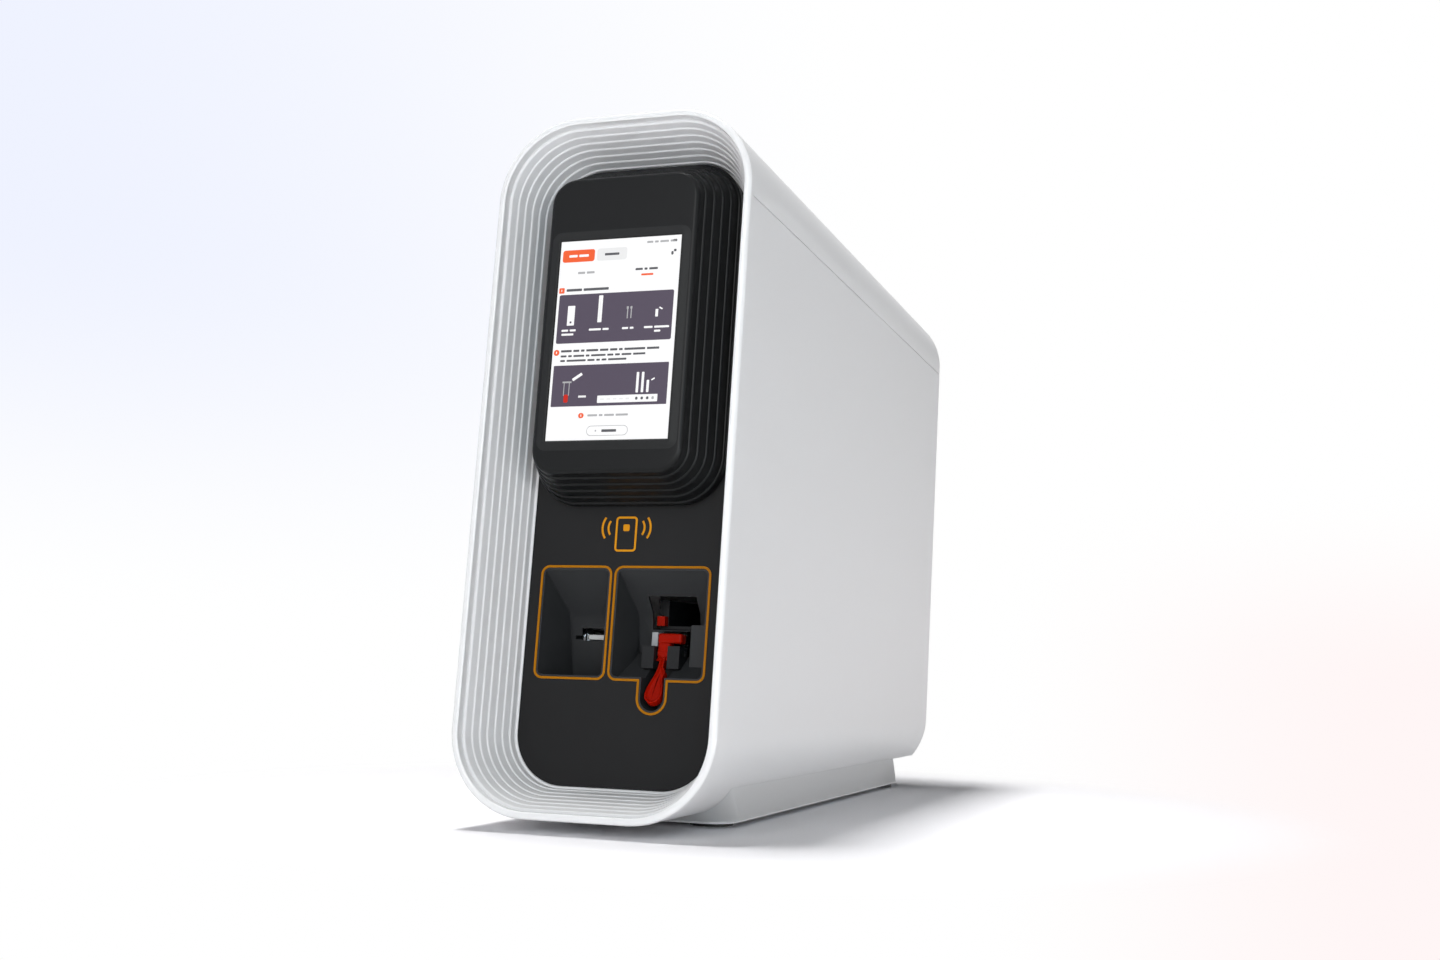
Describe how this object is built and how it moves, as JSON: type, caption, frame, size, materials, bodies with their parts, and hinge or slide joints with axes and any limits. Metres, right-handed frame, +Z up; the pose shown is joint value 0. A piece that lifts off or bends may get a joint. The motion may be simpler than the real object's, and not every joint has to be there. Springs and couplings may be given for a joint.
{
  "type": "hematology analyzer",
  "caption": "Bench hematology analyzer: leaning white casing, stepped surround, black front with display pod, slide and cartridge bays, red lever, internal drives and optics.",
  "frame": {"origin": "middle of the bounding box's bottom face, at the underside of the rubber feet", "axes": "+Z up, +X across the width to the right as seen by the user, -Y towards the user on the display side"},
  "size_m": [0.17, 0.5398, 0.4414],
  "materials": {
    "casing_white": "satin powder coat",
    "rim_white": "gloss",
    "bezel_grey": "semi gloss",
    "panel_black": "fine satin",
    "pod_black": "semi gloss",
    "frame_charcoal": "satin",
    "screen_glass": "clear gloss",
    "sheet_metal": "plain sheet",
    "outline_orange": "gloss",
    "steel_bright": "ground",
    "lever_red": "gloss",
    "sensor_grey": "satin",
    "tray_white": "satin",
    "anodised_dark": "dark anodised",
    "belt_rubber": "matte",
    "pulley_aluminium": "turned",
    "motor_black": "satin",
    "carriage_black": "satin",
    "lens_barrel": "black anodised",
    "board_green": "solder mask",
    "rear_grey": "powder coat",
    "plinth_grey": "satin",
    "base_white": "gloss",
    "foot_rubber": "matte"
  },
  "bodies": {
    "casing": {"lower_shell": "casing_white", "top_cover": "casing_white", "front_rim": "rim_white", "ribbed_bezel": "bezel_grey", "front_panel": "panel_black", "display_pod": "pod_black", "display_frame": "frame_charcoal", "touch_glass": "screen_glass", "lcd_module": "sheet_metal", "bay_outlines": "outline_orange", "slide_bay_liner": "panel_black", "cartridge_bay_liner": "panel_black", "lever_posts": "frame_charcoal", "lever_pin": "steel_bright", "strip_sensor": "sensor_grey", "tray_rail": "steel_bright", "tray_belt": "belt_rubber", "tray_motor": "motor_black", "cartridge_rail": "steel_bright", "cartridge_belt": "belt_rubber", "cartridge_motor": "motor_black", "idler_pins": "steel_bright", "stage_deck": "sheet_metal", "chassis_plate": "sheet_metal", "optics_column": "anodised_dark", "pipette_column": "anodised_dark", "pipette_belt": "belt_rubber", "pipette_motor": "motor_black", "main_board": "board_green", "card_reader_board": "board_green", "power_supply": "sheet_metal", "rear_panel": "rear_grey", "power_inlet": "carriage_black", "switch_frame": "carriage_black", "rear_ports": "sheet_metal", "fan_frame": "carriage_black", "fan_guard": "steel_bright", "rear_screws": "steel_bright", "plinth": "plinth_grey", "base_plate": "base_white", "rubber_feet": "foot_rubber"},
    "slide_carriage": {"slide_tray": "tray_white", "tray_block": "anodised_dark"},
    "tray_drive": {"tray_drive_pulley": "pulley_aluminium"},
    "tray_idler": {"tray_idler_pulley": "pulley_aluminium"},
    "cartridge_stage": {"cartridge_carriage": "carriage_black", "latch_hook": "lever_red"},
    "cartridge_drive": {"cartridge_drive_pulley": "pulley_aluminium"},
    "cartridge_idler": {"cartridge_idler_pulley": "pulley_aluminium"},
    "focus_stage": {"focus_carriage": "anodised_dark", "objective": "lens_barrel", "camera": "carriage_black", "ring_light": "tray_white"},
    "pipette_head": {"pipette_carriage": "tray_white"},
    "pipette_plunger": {"plunger": "steel_bright"},
    "pipette_drive": {"pipette_drive_pulley": "pulley_aluminium"},
    "pipette_idler": {"pipette_idler_pulley": "pulley_aluminium"},
    "lever": {"release_lever": "lever_red"},
    "rocker": {"power_rocker": "carriage_black"},
    "fan": {"fan_rotor": "carriage_black"}
  },
  "joints": [
    {"name": "slide_tray_travel", "type": "slide", "parent": "casing", "child": "slide_carriage", "axis": [0, -1, 0], "range_m": [-0.06, 0.05]},
    {"name": "tray_drive_spin", "type": "hinge", "parent": "casing", "child": "tray_drive", "pos_m": [-0.049, 0.01993, 0.1144], "axis": [-1, 0, 0], "range_deg": [-440, 370]},
    {"name": "tray_idler_spin", "type": "hinge", "parent": "casing", "child": "tray_idler", "pos_m": [-0.049, -0.17007, 0.1144], "axis": [-1, 0, 0], "range_deg": [-440, 370]},
    {"name": "cartridge_travel", "type": "slide", "parent": "casing", "child": "cartridge_stage", "axis": [0, 1, 0], "range_m": [0, 0.09]},
    {"name": "cartridge_drive_spin", "type": "hinge", "parent": "casing", "child": "cartridge_drive", "pos_m": [0.049, 0.04993, 0.1144], "axis": [1, 0, 0], "range_deg": [-5, 660]},
    {"name": "cartridge_idler_spin", "type": "hinge", "parent": "casing", "child": "cartridge_idler", "pos_m": [0.049, -0.17007, 0.1144], "axis": [1, 0, 0], "range_deg": [-5, 660]},
    {"name": "focus_travel", "type": "slide", "parent": "casing", "child": "focus_stage", "axis": [0, 0, 1], "range_m": [-0.003, 0.004]},
    {"name": "pipette_travel", "type": "slide", "parent": "casing", "child": "pipette_head", "axis": [0, 0, 1], "range_m": [-0.035, 0.02]},
    {"name": "plunger_travel", "type": "slide", "parent": "pipette_head", "child": "pipette_plunger", "axis": [0, 0, 1], "range_m": [-0.025, 0.03]},
    {"name": "pipette_drive_spin", "type": "hinge", "parent": "casing", "child": "pipette_drive", "pos_m": [0.049, 0.04793, 0.3284], "axis": [-1, 0, 0], "range_deg": [-260, 150]},
    {"name": "pipette_idler_spin", "type": "hinge", "parent": "casing", "child": "pipette_idler", "pos_m": [0.049, 0.04793, 0.1584], "axis": [-1, 0, 0], "range_deg": [-260, 150]},
    {"name": "lever_swing", "type": "hinge", "parent": "casing", "child": "lever", "pos_m": [0.0236, -0.20118, 0.10764], "axis": [-1, 0, 0], "range_deg": [0, 65]},
    {"name": "rocker_tilt", "type": "hinge", "parent": "casing", "child": "rocker", "pos_m": [0.008, 0.23652, 0.07099], "axis": [1, 0, 0], "range_deg": [-6, 6]},
    {"name": "fan_spin", "type": "hinge", "parent": "casing", "child": "fan", "pos_m": [0, 0.24223, 0.30905], "axis": [0, -0.9983, 0.0576], "continuous": true}
  ],
  "couplings": [
    {"joint": "tray_drive_spin", "follows": "slide_tray_travel", "rad_per_m": 126.58},
    {"joint": "tray_idler_spin", "follows": "slide_tray_travel", "rad_per_m": 126.58},
    {"joint": "cartridge_drive_spin", "follows": "cartridge_travel", "rad_per_m": 126.58},
    {"joint": "cartridge_idler_spin", "follows": "cartridge_travel", "rad_per_m": 126.58},
    {"joint": "pipette_drive_spin", "follows": "pipette_travel", "rad_per_m": 126.58},
    {"joint": "pipette_idler_spin", "follows": "pipette_travel", "rad_per_m": 126.58}
  ]
}
